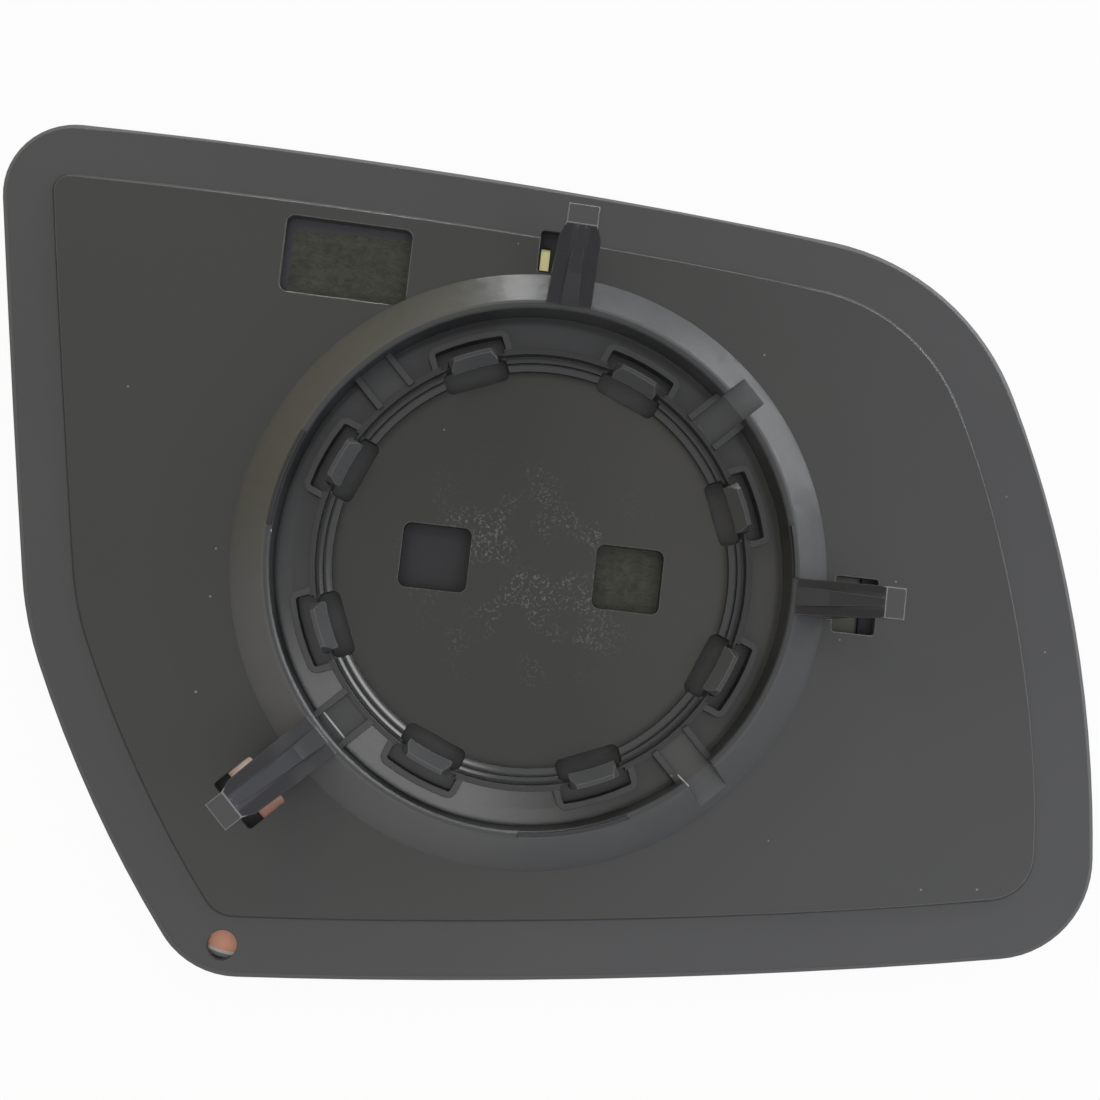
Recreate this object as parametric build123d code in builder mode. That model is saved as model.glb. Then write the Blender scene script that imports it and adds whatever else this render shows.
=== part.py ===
from build123d import *
import math
import os

# Outline of the plate seen from behind: five corners, clockwise from the top left
top_left_x = -98.5
top_left_y = 65.8
top_right_x = 68.9
top_right_y = 61.3
bottom_right_x = 101.7
bottom_right_y = -54.4
bottom_left_x = -49.0
bottom_left_y = -73.5
side_x = -83.5
side_y = -17.8

# How far each edge bows outwards between its two corners
top_bow = 3.6
right_bow = 9.1
bottom_bow = 2.85
slant_bow = 2.5
left_bow = 0.4

# Radius of each corner
top_left_round = 12.3
top_right_round = 42.9
bottom_right_round = 17.9
bottom_left_round = 15.3
side_round = 60.0
smallest_round = 1.0

# The stack from front to back: convex glass, glue, foam, glue, plate
mirror_radius = 1400.0
glass_thickness = 2.0
glue_line = 0.1
pad_thickness = 0.8
plate_thickness = 2.0
glass_edge_bevel = 0.4

# Rim round the glass, border and raised field on the back
rim_wall = 1.8
rim_recess = 0.3
glass_clearance = 0.3
edge_bevel = 1.0
border_width = 9.4
field_step = 0.6
field_bevel = 0.4
field_shift_x = -1.0
field_shift_y = 0.4
pad_inset = 6.0

# Snap ring, from the flat seat in the middle out to the foot of the cone
seat_radius = 34.0
seat_rise = 0.5
inner_bead_width = 1.1
outer_bead_width = 0.8
bead_gap = 0.4
bead_height = 1.3
bead_gap_height = 0.6
rib_width = 1.0
rib_height = 3.0
channel_width = 6.05
channel_height = 0.1
rim_width = 1.2
rim_height = 7.2
cone_run = 6.5
cone_foot_height = 0.3
ring_edge_bevel = 0.3
ring_root = 1.2

# Relief groove under the cone, on the side that the foam covers
relief_wall = 1.5
relief_floor = 1.4

# Lands that carry the cone up past its rim: start and sweep of each, in degrees
land_rise = 1.1
land_depth = 0.15
land_sink = 0.3
right_land_start = 4.0
right_land_sweep = 11.5
left_land_start = 156.0
left_land_sweep = 21.5
lower_land_start = 273.0
lower_land_sweep = 24.0

# Snap clips
clip_count = 8
tongue_sweep = 13.0
tongue_setback = 2.5
tongue_thickness = 1.25
tongue_height = 6.0
tongue_flat = 0.7
tongue_end_bevel = 1.1
nose_reach = 1.4
nose_height = 4.3
nose_flat = 0.4
nose_undercut = 0.9
hole_width = 11.2
hole_depth = 3.9
hole_round = 1.2
frame_width = 14.2
frame_reach = 3.55
frame_wall = 1.1
frame_round = 1.6

# Key strips across the channel, with a slot through the cone at two of them
strip_count = 4
strip_width = 5.5
strip_height = 2.5
strip_rib_width = 1.1
strip_rib_height = 3.6

# Hook arms: reach of each tip beyond the foot of the cone, and width of each blade at its end
arm_height = 18.5
top_arm_reach = 7.0
right_arm_reach = 8.2
lower_arm_reach = 12.2
top_arm_width = 6.9
right_arm_width = 5.4
lower_arm_width = 6.8
top_arm_skew = 1.2
arm_tip_width = 5.1
arm_taper = 0.07
arm_shoulder = 1.8
arm_thickness = 2.0
hook_length = 3.2
hook_thickness = 1.5
arm_rib_height = 0.9
arm_rib_ramp = 4.4
arm_rib_root_width = 3.4
arm_rib_tip_width = 1.3
arm_window_length = 7.5
arm_window_width = 9.8
arm_window_margin = 0.6
arm_window_round = 0.6
arm_foam_cover = 2.4

# Windows and the corner hole
seat_window_offset = 16.7
seat_window_length = 11.7
seat_window_width = 11.1
seat_window_round = 1.4
window_x = -37.8
window_y = 49.2
window_length = 21.7
window_width = 13.3
window_round = 1.5
corner_hole_diameter = 4.9
corner_hole_inset_x = 4.9
corner_hole_inset_y = 5.5

# Long enough to pass right through the part
through = 60.0

# Concentric spheres that bound the stack, and the height of their common centre
glass_back_radius = mirror_radius - glass_thickness
pad_front_radius = glass_back_radius - glue_line
pad_back_radius = pad_front_radius - pad_thickness
plate_front_radius = pad_back_radius - glue_line
field_radius = plate_front_radius - plate_thickness
border_radius = field_radius + field_step
rim_front_radius = mirror_radius - rim_recess
sphere_height = field_radius - seat_rise

# Radii of the ring's steps
inner_bead_radius = seat_radius + inner_bead_width
outer_bead_start = inner_bead_radius + bead_gap
outer_bead_radius = outer_bead_start + outer_bead_width
rib_start = outer_bead_radius + bead_gap
rib_radius = rib_start + rib_width
wall_radius = rib_radius + channel_width
crest_radius = wall_radius + rim_width
foot_radius = crest_radius + cone_run
cone_slope = (rim_height - cone_foot_height) / cone_run
seam_angle = 180

# Section of the lands: foot on the inner wall, sharp crest, and a tail inside the cone
land_foot = wall_radius - land_depth
land_crest = crest_radius - land_rise / cone_slope
land_tail = crest_radius + cone_run / 2
land_height = rim_height + land_rise
land_tail_height = rim_height - cone_slope * (land_tail - crest_radius) - land_sink
land_root = ring_root / 2

# Clips stand where the annular rib would run
tongue_face = seat_radius + tongue_setback
tongue_radius = tongue_face + tongue_thickness
tongue_half = tongue_radius * math.tan(math.radians(tongue_sweep / 2))
frame_radius = rib_radius + frame_reach
clip_phase = 360 / clip_count / 2
strip_phase = 360 / strip_count / 2
slotted_strips = (strip_phase, -strip_phase)

# Hook arms: angle of the window, angle of the arm over it, reach and width
top_arm_angle = 90
right_arm_angle = 0
lower_arm_angle = 225
hook_arms = (
    (top_arm_angle, top_arm_angle - top_arm_skew, top_arm_reach, top_arm_width),
    (right_arm_angle, right_arm_angle, right_arm_reach, right_arm_width),
    (lower_arm_angle, lower_arm_angle, lower_arm_reach, lower_arm_width),
)
wall_lands = (
    (right_land_start, right_land_sweep),
    (left_land_start, left_land_sweep),
    (lower_land_start, lower_land_sweep),
)


def radial_plane(angle):
    """Upright plane through the ring's axis, with x pointing outwards at an angle."""
    turn = math.radians(angle)
    outwards = (math.cos(turn), math.sin(turn), 0)
    across = (math.sin(turn), -math.cos(turn), 0)
    return Plane(origin=(0, 0, 0), x_dir=outwards, z_dir=across)


def window_span(reach):
    """Inner and outer radius of the plate's window under an arm's hook."""
    outer = foot_radius + reach + arm_window_margin
    return outer - arm_window_length, outer


def dished(shape, front_radius, back_radius):
    """Solid inside an outline, between two of the stack's spheres."""
    with BuildPart() as dished_solid:
        add(shape)
        extrude(amount=through, both=True)
        with Locations((0, 0, sphere_height)):
            Sphere(front_radius, rotation=(90, 0, 0), mode=Mode.INTERSECT)
            Sphere(back_radius, rotation=(90, 0, 0), mode=Mode.SUBTRACT)
    return dished_solid.part


def broad_faces(part):
    """The two largest faces of a dished solid: front first, then back."""
    return part.faces().sort_by(SortBy.AREA)[-2:].sort_by(Axis.Z)


# Outline of the plate: corner, bow of the edge that follows it, and radius
corners = (
    ((top_left_x, top_left_y), top_bow, top_left_round),
    ((top_right_x, top_right_y), right_bow, top_right_round),
    ((bottom_right_x, bottom_right_y), bottom_bow, bottom_right_round),
    ((bottom_left_x, bottom_left_y), slant_bow, bottom_left_round),
    ((side_x, side_y), left_bow, side_round),
)


def outline(inset):
    """The plate's outline, moved inwards by a distance."""
    with BuildSketch() as shape:
        with BuildLine():
            for index, (corner, bow, _) in enumerate(corners):
                next_corner = corners[(index + 1) % len(corners)][0]
                SagittaArc(corner, next_corner, bow)
        make_face()
        if inset:
            offset(amount=-inset, kind=Kind.INTERSECTION)
        for corner, _, radius in corners:
            nearest = shape.vertices().sort_by_distance(corner)[0]
            fillet(nearest, radius=max(radius - inset, smallest_round))
    return shape.sketch


plate_outline = outline(0)
pocket_outline = outline(rim_wall)
glass_outline = outline(rim_wall + glass_clearance)
pad_outline = outline(rim_wall + glass_clearance + pad_inset)
field_outline = outline(border_width).moved(Location((field_shift_x, field_shift_y)))

# Raised field on the back of the plate
with BuildPart() as field:
    add(dished(field_outline, plate_front_radius, field_radius))
    chamfer(broad_faces(field.part)[1].edges(), length=field_bevel)

# One snap clip on the +X side: a spring tongue with an inward nose, in a U-shaped frame
with BuildPart() as clip:
    with BuildSketch(radial_plane(-tongue_sweep / 2)):
        with BuildLine():
            Polyline(
                (tongue_face, -ring_root),
                (tongue_face, nose_height - nose_undercut),
                (tongue_face - nose_reach, nose_height),
                (tongue_face - nose_reach, nose_height + nose_flat),
                (tongue_radius - tongue_flat, tongue_height),
                (tongue_radius, tongue_height),
                (tongue_radius, -ring_root),
                close=True,
            )
        make_face()
    revolve(axis=Axis.Z, revolution_arc=tongue_sweep)
    with BuildSketch(Plane.YZ):
        with BuildLine():
            Polyline(
                (tongue_half, -ring_root),
                (tongue_half, tongue_height - tongue_end_bevel),
                (tongue_half - tongue_end_bevel, tongue_height),
                (-tongue_half + tongue_end_bevel, tongue_height),
                (-tongue_half, tongue_height - tongue_end_bevel),
                (-tongue_half, -ring_root),
                close=True,
            )
        make_face()
    extrude(amount=through, mode=Mode.INTERSECT)
    with BuildSketch(Plane.XY.offset(-ring_root)) as frame_outline:
        with Locations((rib_radius - frame_wall, 0)):
            Rectangle(frame_radius, frame_width, align=(Align.MIN, Align.CENTER))
        Circle(frame_radius, mode=Mode.INTERSECT)
        fillet(frame_outline.vertices().group_by(Axis.X)[-1], radius=frame_round)
        offset(amount=-frame_wall, mode=Mode.SUBTRACT)
        with Locations((rib_radius, 0)):
            Rectangle(2 * frame_wall, frame_width - 2 * frame_wall, mode=Mode.SUBTRACT)
    extrude(amount=ring_root + rib_height)

# One key strip on the +X side: a flat bar between two thin ribs
with BuildPart() as strip:
    with Locations((rib_radius - rib_width / 2, 0, -ring_root)):
        Box(
            wall_radius - rib_radius + rib_width,
            strip_width,
            ring_root + strip_height,
            align=(Align.MIN, Align.CENTER, Align.MIN),
        )
        with GridLocations(0, strip_width + strip_rib_width, 1, 2):
            Box(
                wall_radius - rib_radius + rib_width,
                strip_rib_width,
                ring_root + strip_rib_height,
                align=(Align.MIN, Align.CENTER, Align.MIN),
            )


def hook_arm(reach, width):
    """Hook arm on the +X side: a leaning tapered blade with a stiffening rib and a flat hook at its tip."""
    tip = foot_radius + reach
    blade_end = tip - hook_length
    root = crest_radius - rim_width / 2
    lean = (arm_height - rim_height) / (blade_end - root)
    drop = arm_thickness * math.hypot(1, lean)
    root_width = width + arm_taper * (blade_end - root)
    window_inner, _ = window_span(reach)
    under_hook = arm_height - hook_thickness
    under_start = root + (under_hook + drop - rim_height) / lean
    with BuildPart() as arm:
        with BuildSketch(Plane.XZ):
            with BuildLine():
                Polyline(
                    (root, -ring_root),
                    (root, rim_height),
                    (blade_end, arm_height),
                    (tip, arm_height),
                    (tip, under_hook),
                    (under_start, under_hook),
                    (window_inner, rim_height + lean * (window_inner - root) - drop),
                    (window_inner, -ring_root),
                    close=True,
                )
            make_face()
        extrude(amount=root_width / 2, both=True)
        with BuildSketch():
            with BuildLine():
                Polyline(
                    (root, root_width / 2),
                    (blade_end - arm_shoulder, width / 2),
                    (blade_end, arm_tip_width / 2),
                    (tip, arm_tip_width / 2),
                    (tip, -arm_tip_width / 2),
                    (blade_end, -arm_tip_width / 2),
                    (blade_end - arm_shoulder, -width / 2),
                    (root, -root_width / 2),
                    close=True,
                )
            make_face()
        extrude(amount=through, both=True, mode=Mode.INTERSECT)
    with BuildPart() as rib:
        with BuildSketch(Plane.XZ):
            with BuildLine():
                Polyline(
                    (root, rim_height - arm_rib_height),
                    (root, rim_height),
                    (root + arm_rib_ramp, rim_height + lean * arm_rib_ramp + arm_rib_height),
                    (blade_end, arm_height),
                    (blade_end, arm_height - arm_rib_height),
                    close=True,
                )
            make_face()
        extrude(amount=arm_rib_root_width / 2, both=True)
        with BuildSketch():
            with BuildLine():
                Polyline(
                    (root, arm_rib_root_width / 2),
                    (blade_end, arm_rib_tip_width / 2),
                    (blade_end, -arm_rib_tip_width / 2),
                    (root, -arm_rib_root_width / 2),
                    close=True,
                )
            make_face()
        extrude(amount=through, both=True, mode=Mode.INTERSECT)
    return arm.part + rib.part


arms = [(arm_angle, hook_arm(reach, width)) for _, arm_angle, reach, width in hook_arms]

# Backing plate
with BuildPart() as backing_plate:
    # Dished plate with a bevelled back edge, hollowed at the front for the glass
    add(dished(plate_outline, rim_front_radius, border_radius))
    chamfer(broad_faces(backing_plate.part)[1].edges(), length=edge_bevel)
    add(dished(pocket_outline, mirror_radius + glass_thickness, plate_front_radius), mode=Mode.SUBTRACT)
    add(field.part)

    # Windows in the field and under the hooks
    with BuildSketch():
        with Locations((window_x, window_y)):
            RectangleRounded(window_length, window_width, window_round)
        for angle, _, reach, _ in hook_arms:
            window_inner, window_outer = window_span(reach)
            with PolarLocations((window_inner + window_outer) / 2, 1, angle):
                RectangleRounded(arm_window_length, arm_window_width, arm_window_round)
        with Locations((bottom_left_x + corner_hole_inset_x, bottom_left_y + corner_hole_inset_y)):
            Circle(corner_hole_diameter / 2)
    extrude(amount=through, both=True, mode=Mode.SUBTRACT)

    # Seat, two beads, annular rib, channel and cone, turned about the ring's axis
    with BuildSketch(radial_plane(seam_angle)) as ring_profile:
        with BuildLine():
            Polyline(
                (0, -ring_root),
                (0, 0),
                (seat_radius, 0),
                (seat_radius, bead_height),
                (inner_bead_radius, bead_height),
                (inner_bead_radius, bead_gap_height),
                (outer_bead_start, bead_gap_height),
                (outer_bead_start, bead_height),
                (outer_bead_radius, bead_height),
                (outer_bead_radius, bead_gap_height),
                (rib_start, bead_gap_height),
                (rib_start, rib_height),
                (rib_radius, rib_height),
                (rib_radius, channel_height),
                (wall_radius, channel_height),
                (wall_radius, rim_height),
                (crest_radius, rim_height),
                (foot_radius, cone_foot_height),
                (foot_radius, -ring_root),
                close=True,
            )
        make_face()
        for edge in ((wall_radius, rim_height), (crest_radius, rim_height)):
            chamfer(ring_profile.vertices().sort_by_distance(edge)[0], length=ring_edge_bevel)
    revolve(axis=Axis.Z)

    # Lands carry the cone's slope further in and up, and run out just under its surface
    for start, sweep in wall_lands:
        with BuildSketch(radial_plane(start)):
            with BuildLine():
                Polyline(
                    (land_foot, -land_root),
                    (land_foot, channel_height),
                    (land_crest, land_height),
                    (land_tail, land_tail_height),
                    (land_tail, -land_root),
                    close=True,
                )
            make_face()
        revolve(axis=Axis.Z, revolution_arc=sweep)

    # Key strips, two of them slotted through the cone
    with PolarLocations(0, strip_count, strip_phase):
        add(strip.part)
    for angle in slotted_strips:
        with BuildSketch(Plane.XY.offset(strip_height)):
            with PolarLocations((wall_radius + foot_radius) / 2, 1, angle):
                Rectangle(foot_radius - wall_radius + rim_width, strip_width)
        extrude(amount=rim_height, mode=Mode.SUBTRACT)

    # Clear the annular rib for each clip, then open the floor under its nose
    with BuildSketch(Plane.XY.offset(channel_height)):
        with PolarLocations((rib_start + frame_radius - frame_wall) / 2, clip_count, clip_phase):
            Rectangle(frame_radius - frame_wall - rib_start, hole_width)
    extrude(amount=rim_height, mode=Mode.SUBTRACT)
    with PolarLocations(0, clip_count, clip_phase):
        add(clip.part)
    with BuildSketch(Plane.XY.offset(-through)):
        with PolarLocations(tongue_face - hole_depth / 2, clip_count, clip_phase):
            RectangleRounded(hole_depth, hole_width, hole_round)
    extrude(amount=through + nose_height - nose_undercut, mode=Mode.SUBTRACT)

    # Hook arms
    for angle, arm in arms:
        with PolarLocations(0, 1, angle):
            add(arm)

    # Windows in the seat
    with BuildSketch():
        with GridLocations(2 * seat_window_offset, 0, 2, 1):
            RectangleRounded(seat_window_length, seat_window_width, seat_window_round)
    extrude(amount=through, both=True, mode=Mode.SUBTRACT)

    # Relief groove under the thick foot of the cone
    with BuildSketch(Plane.XY.offset(-through)):
        Circle(foot_radius - relief_wall)
        Circle(wall_radius + relief_wall, mode=Mode.SUBTRACT)
    extrude(amount=through + strip_height - relief_floor, mode=Mode.SUBTRACT)

# Foam pad, cut away behind the inner part of each arm's window
with BuildPart() as foam_pad:
    add(dished(pad_outline, pad_front_radius, pad_back_radius))
    with BuildSketch():
        for angle, _, reach, _ in hook_arms:
            window_inner, window_outer = window_span(reach)
            with PolarLocations((window_inner + window_outer - arm_foam_cover) / 2, 1, angle):
                Rectangle(arm_window_length - arm_foam_cover, arm_window_width)
    extrude(amount=through, both=True, mode=Mode.SUBTRACT)

# Mirror glass with ground edges
with BuildPart() as mirror_glass:
    add(dished(glass_outline, mirror_radius, glass_back_radius))
    chamfer(broad_faces(mirror_glass.part).edges(), length=glass_edge_bevel)

backing_plate.part.label = "backing_plate"
foam_pad.part.label = "foam_pad"
mirror_glass.part.label = "mirror_glass"

os.makedirs("parts", exist_ok=True)
export_step(backing_plate.part, "parts/backing_plate.step")
export_step(foam_pad.part, "parts/foam_pad.step")
export_step(mirror_glass.part, "parts/mirror_glass.step")
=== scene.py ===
"""Looks of a car door mirror glass that lies on its mirror face, with its snap ring on top.

The backing plate is the CAD node itself with a moulded plastic finish. The foam pad and the mirror glass
are smooth surfaces worked out with numpy in the places of their CAD solids. Sizes are in millimetres and
become metres where a mesh, a light or the camera is made.
"""

import functools
import logging
import math
import operator
from dataclasses import dataclass
from enum import Enum
from typing import Any, Callable, Optional, Union

import bpy
import numpy as np
from bpy.types import Material, Node, NodeSocket, NodeTree, Object
from mathutils import Matrix, Vector
from mathutils.geometry import convex_hull_2d


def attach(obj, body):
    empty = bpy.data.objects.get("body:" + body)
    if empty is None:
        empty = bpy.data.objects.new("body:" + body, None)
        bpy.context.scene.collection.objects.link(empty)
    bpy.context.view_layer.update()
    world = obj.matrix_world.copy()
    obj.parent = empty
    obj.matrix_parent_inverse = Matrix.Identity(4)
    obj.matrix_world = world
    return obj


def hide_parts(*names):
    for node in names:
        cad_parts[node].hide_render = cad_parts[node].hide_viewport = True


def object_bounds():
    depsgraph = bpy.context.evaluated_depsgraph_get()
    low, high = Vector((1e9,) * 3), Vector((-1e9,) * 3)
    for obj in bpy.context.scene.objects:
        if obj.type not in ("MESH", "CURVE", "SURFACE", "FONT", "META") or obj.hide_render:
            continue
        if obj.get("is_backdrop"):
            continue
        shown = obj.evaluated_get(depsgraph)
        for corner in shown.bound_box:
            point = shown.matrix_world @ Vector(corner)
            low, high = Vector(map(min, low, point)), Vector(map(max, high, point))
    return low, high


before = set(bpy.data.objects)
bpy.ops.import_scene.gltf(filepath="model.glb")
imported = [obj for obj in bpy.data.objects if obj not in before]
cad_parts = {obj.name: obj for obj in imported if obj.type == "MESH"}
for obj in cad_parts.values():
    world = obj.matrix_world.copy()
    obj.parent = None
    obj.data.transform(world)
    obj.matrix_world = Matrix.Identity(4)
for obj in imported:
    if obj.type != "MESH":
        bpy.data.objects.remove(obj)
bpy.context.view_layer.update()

log = logging.getLogger("door_mirror")

MM = 0.001
TINY = 1e-6
SLANT = math.sqrt(0.5)
BODY = "root"
BOX_FACES = [(0, 1, 3, 2), (4, 6, 7, 5), (0, 4, 5, 1), (2, 3, 7, 6), (0, 2, 6, 4), (1, 5, 7, 3)]

Colour = tuple[float, float, float, float]
Point = tuple[float, float, float]
Pair = tuple[float, float]
Operand = Union["Signal", float]


class CadNode(Enum):
    """Names of the CAD nodes."""

    PLATE = "backing_plate"
    PAD = "foam_pad"
    GLASS = "mirror_glass"


class Slot(Enum):
    """Names of the foam and mirror material slots."""

    FOAM = "foam"
    MIRROR = "mirror"


def math_method(operation: str, swapped: bool = False) -> Callable[..., "Signal"]:
    """Makes a method that adds a Math node on a signal and any other operand.

    Args:
        operation: The Math node's operation.
        swapped: Whether the other operand comes first.

    Returns:
        The method.
    """

    def method(self: "Signal", *others: Operand) -> "Signal":
        """A Math node on this signal and the others."""
        operands = (self, *others)
        return self.graph.math(operation, *(operands[::-1] if swapped else operands))

    return method


class Signal:
    """An output socket that adds Math nodes when it is used in a Python expression."""

    def __init__(self, graph: "Graph", socket: NodeSocket) -> None:
        """Keeps the socket and the graph that new nodes go into."""
        self.graph = graph
        self.socket = socket

    def out(self, name: str) -> "Signal":
        """Another output of the same node."""
        return Signal(self.graph, self.socket.node.outputs[name])

    __add__ = math_method("ADD")
    __radd__ = math_method("ADD", swapped=True)
    __sub__ = math_method("SUBTRACT")
    __rsub__ = math_method("SUBTRACT", swapped=True)
    __mul__ = math_method("MULTIPLY")
    __rmul__ = math_method("MULTIPLY", swapped=True)
    __truediv__ = math_method("DIVIDE")
    __lt__ = math_method("LESS_THAN")
    __or__ = math_method("MAXIMUM")
    __abs__ = math_method("ABSOLUTE")
    sign = math_method("SIGN")
    root = math_method("SQRT")

    def ramp(self, low: float, high: float) -> "Signal":
        """A smooth mask that goes from 0 at low to 1 at high; low may be the greater of the two."""
        span = {"Value": self, "From Min": low, "From Max": high}
        return self.graph.make("ShaderNodeMapRange", {"interpolation_type": "SMOOTHSTEP"}, span)

    def above(self, level: float, soft: float) -> "Signal":
        """A mask that is 1 over a level, with a soft change there."""
        return self.ramp(level - soft, level + soft)

    def below(self, level: float, soft: float) -> "Signal":
        """A mask that is 1 under a level, with a soft change there."""
        return self.ramp(level + soft, level - soft)

    def band(self, low: float, high: float, soft: float) -> "Signal":
        """A mask that is 1 between low and high, with soft ends."""
        return self.above(low, soft) * self.below(high, soft)


class Graph:
    """A node tree that is filled by one method."""

    def __init__(self, tree: NodeTree) -> None:
        """Takes an empty node tree."""
        self.tree = tree
        tree.nodes.clear()

    @staticmethod
    def _input(node: Node, key: Union[int, str]) -> NodeSocket:
        """Finds an input of a node.

        Args:
            node: The node.
            key: The input's number, or the name of an enabled one.

        Returns:
            The socket.
        """
        if isinstance(key, int):
            return node.inputs[key]
        return next(s for s in node.inputs if s.name == key and s.enabled)

    def make(
        self,
        kind: str,
        settings: Optional[dict[str, Any]] = None,
        inputs: Optional[dict[Union[int, str], Any]] = None,
        output: Optional[str] = None,
    ) -> Signal:
        """Adds a node.

        Args:
            kind: Blender's type of the node.
            settings: The node's own properties, set first.
            inputs: Values or links for its inputs, by name or number.
            output: Name of the output to return, or None for the first that is enabled.

        Returns:
            The chosen output.
        """
        node = self.tree.nodes.new(kind)
        for name, value in (settings or {}).items():
            setattr(node, name, value)
        for key, value in (inputs or {}).items():
            socket = self._input(node, key)
            if isinstance(value, Signal):
                self.tree.links.new(value.socket, socket)
            else:
                socket.default_value = value
        outputs = [s for s in node.outputs if s.enabled]
        if output:
            outputs = [s for s in outputs if s.name == output]
        return Signal(self, outputs[0] if outputs else None)

    def vector(self, operation: str, *operands: Any, output: str = "Vector") -> Signal:
        """A Vector Math node on the given operands."""
        inputs = dict(enumerate(operands))
        return self.make("ShaderNodeVectorMath", {"operation": operation}, inputs, output)

    def scaled(self, vector: Signal, factor: Operand) -> Signal:
        """A vector times a number."""
        return self.make("ShaderNodeVectorMath", {"operation": "SCALE"}, {0: vector, "Scale": factor})

    def mix(self, factor: Operand, first: Any, second: Any, blend: str = "MIX") -> Signal:
        """A colour between two colours."""
        inputs = {"Factor": factor, "A": first, "B": second}
        return self.make("ShaderNodeMix", {"data_type": "RGBA", "blend_type": blend}, inputs)

    def mix_vector(self, factor: Operand, first: Any, second: Any) -> Signal:
        """A vector between two vectors."""
        inputs = {"Factor": factor, "A": first, "B": second}
        return self.make("ShaderNodeMix", {"data_type": "VECTOR"}, inputs)

    def layers(self, base: Any, *layers: tuple[Operand, Any]) -> Signal:
        """Lays colours over a base, one after the other.

        Args:
            base: The colour underneath.
            layers: The mask and the colour of each layer.

        Returns:
            The colour on top.
        """
        for mask, colour in layers:
            base = self.mix(mask, base, colour)
        return base

    def noise(self, place: Signal, scale: float, detail: float = 2.0, roughness: float = 0.5) -> Signal:
        """Noise from 0 to 1 on places in millimetres."""
        inputs = {"Vector": place, "Scale": scale, "Detail": detail, "Roughness": roughness}
        return self.make("ShaderNodeTexNoise", {}, inputs, "Fac")

    def bump(self, height: Signal, reach: float, **inputs: Signal) -> Signal:
        """A normal bent by a height from 0 to 1 that reaches a number of millimetres."""
        inputs |= {"Strength": 1.0, "Distance": reach * MM, "Height": height}
        return self.make("ShaderNodeBump", {}, inputs)

    def place(self) -> Signal:
        """The surface point in object coordinates, in millimetres."""
        metres = self.make("ShaderNodeTexCoord", output="Object")
        return self.scaled(metres, 1 / MM)

    def axes(self, vector: Signal) -> tuple[Signal, Signal, Signal]:
        """The three parts of a vector."""
        x = self.make("ShaderNodeSeparateXYZ", {}, {0: vector}, "X")
        return x, x.out("Y"), x.out("Z")

    def join(self, x: Operand, y: Operand, z: Operand) -> Signal:
        """A vector from its three parts."""
        return self.make("ShaderNodeCombineXYZ", {}, {0: x, 1: y, 2: z})

    def parts(self, colour: Signal) -> tuple[Signal, Signal, Signal]:
        """The red, green and blue of a colour."""
        red = self.make("ShaderNodeSeparateColor", {}, {0: colour}, "Red")
        return red, red.out("Green"), red.out("Blue")

    def grey(self, value: Operand) -> Signal:
        """A grey from one value."""
        return self.make("ShaderNodeCombineColor", {}, {0: value, 1: value, 2: value})

    def math(self, operation: str, *operands: Operand) -> Signal:
        """A Math node on the given operands."""
        return self.make("ShaderNodeMath", {"operation": operation}, dict(enumerate(operands)))


def new_material(name: str) -> tuple[Material, Graph]:
    """Makes an empty node material.

    Args:
        name: Name of the material.

    Returns:
        The material and its graph.
    """
    material = bpy.data.materials.new(name)
    material.use_nodes = True
    return material, Graph(material.node_tree)


def finish_material(graph: Graph, inputs: dict[Union[int, str], Any]) -> None:
    """Ends a graph in a Principled BSDF with the given inputs."""
    shader = graph.make("ShaderNodeBsdfPrincipled", {}, inputs)
    graph.make("ShaderNodeOutputMaterial", {}, {"Surface": shader})


def wear_only(obj: Object, material: Material) -> None:
    """Puts one material into every material slot of an object.

    Args:
        obj: The object.
        material: The material.
    """
    if not obj.material_slots:
        obj.data.materials.append(material)
    for slot in obj.material_slots:
        slot.material = material


def shell(name: str, first_pole: Point, rings: np.ndarray, last_pole: Point) -> Object:
    """A closed surface on a grid: rings of points, joined by quads, with a fan to a pole at each end.

    Args:
        name: Name of the object.
        first_pole: Point inside the first ring, which faces down.
        rings: Array of rings by points by three, anticlockwise seen from above, in millimetres.
        last_pole: Point inside the last ring, which faces up.

    Returns:
        The new object.
    """
    count, around = rings.shape[:2]
    vertices = np.vstack((rings.reshape(-1, 3), first_pole, last_pole)) * MM
    index = np.arange(count * around).reshape(count, around)
    ahead = np.roll(index, -1, axis=1)
    quads = np.stack((index[:-1], ahead[:-1], ahead[1:], index[1:]), axis=-1).reshape(-1, 4)
    bottom = np.stack((np.full(around, count * around), ahead[0], index[0]), axis=-1)
    top = np.stack((np.full(around, count * around + 1), index[-1], ahead[-1]), axis=-1)
    mesh = bpy.data.meshes.new(name)
    mesh.from_pydata(vertices.tolist(), [], quads.tolist() + bottom.tolist() + top.tolist())
    mesh.polygons.foreach_set("use_smooth", np.ones(len(mesh.polygons), dtype=bool))
    obj = bpy.data.objects.new(name, mesh)
    bpy.context.scene.collection.objects.link(obj)
    return obj


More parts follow.
